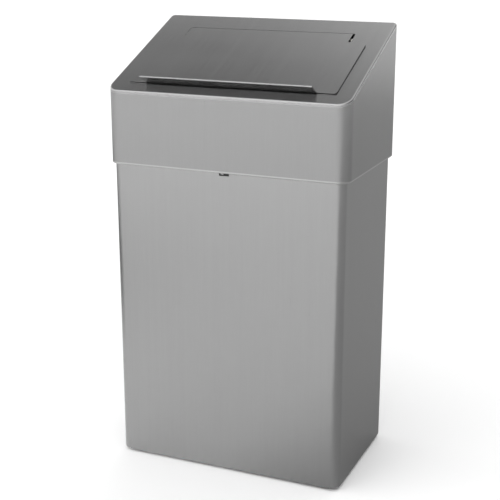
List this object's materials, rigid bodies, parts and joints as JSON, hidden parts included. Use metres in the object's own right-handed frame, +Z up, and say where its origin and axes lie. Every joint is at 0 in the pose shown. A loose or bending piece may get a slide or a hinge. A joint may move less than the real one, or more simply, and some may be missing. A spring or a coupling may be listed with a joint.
{
  "type": "wall-hung waste bin with self-closing flap",
  "caption": "Wall-hung stainless steel waste bin with a lift-off sloped hood and a self-closing push-up flap.",
  "frame": {"origin": "bottom centre of the bounding box, under the rubber feet", "axes": "+Z up, the front and the flap's lip face -Y, the wall is on the +Y side, +X to the right seen from the front"},
  "size_m": [0.335, 0.1974, 0.6004],
  "materials": {
    "stainless_brushed": "brushed stainless steel sheet, straight satin grain",
    "stainless_inner": "unpolished stainless brackets, rails and rod",
    "zinc_screw": "zinc-plated steel fasteners",
    "rubber_black": "matt black rubber",
    "nylon_white": "natural nylon",
    "nylon_black": "moulded black nylon"
  },
  "bodies": {
    "bin_body": {"body_shell": "stainless_brushed", "back_panel": "stainless_brushed", "wall_spacers": "nylon_white", "floor_tray": "stainless_inner", "rubber_feet": "rubber_black", "foot_screws": "zinc_screw", "foot_nuts": "zinc_screw", "bag_bracket_right": "stainless_inner", "bag_bracket_left": "stainless_inner", "bag_ledges": "stainless_inner", "lock_guide": "stainless_inner"},
    "lock": {"lock_slider": "nylon_black"},
    "bag_holder": {"bag_frame": "stainless_inner"},
    "hood": {"hood_wrap": "stainless_brushed", "hood_back": "stainless_brushed", "hood_top": "stainless_brushed", "seat_rail_right": "stainless_inner", "seat_rail_left": "stainless_inner", "hinge_bracket_right": "stainless_inner", "hinge_bracket_left": "stainless_inner", "hinge_rod": "stainless_inner", "rod_clips": "zinc_screw", "flap_buffer": "rubber_black"},
    "flap": {"flap_panel": "stainless_brushed", "flap_stiffener": "stainless_inner", "bush_right": "nylon_white", "bush_left": "nylon_white"}
  },
  "joints": [
    {"name": "flap_hinge", "type": "hinge", "parent": "hood", "child": "flap", "pos_m": [0, 0.05504, 0.57535], "axis": [-1, 0, 0], "range_deg": [0, 80]},
    {"name": "hood_lift", "type": "slide", "parent": "bin_body", "child": "hood", "axis": [0, 0, 1], "range_m": [0, 0.15]},
    {"name": "lock_slide", "type": "slide", "parent": "bin_body", "child": "lock", "axis": [1, 0, 0], "range_m": [0, 0.008]},
    {"name": "bag_frame_hinge", "type": "hinge", "parent": "bin_body", "child": "bag_holder", "pos_m": [0, 0.08275, 0.4542], "axis": [-1, 0, 0], "range_deg": [0, 18]}
  ]
}
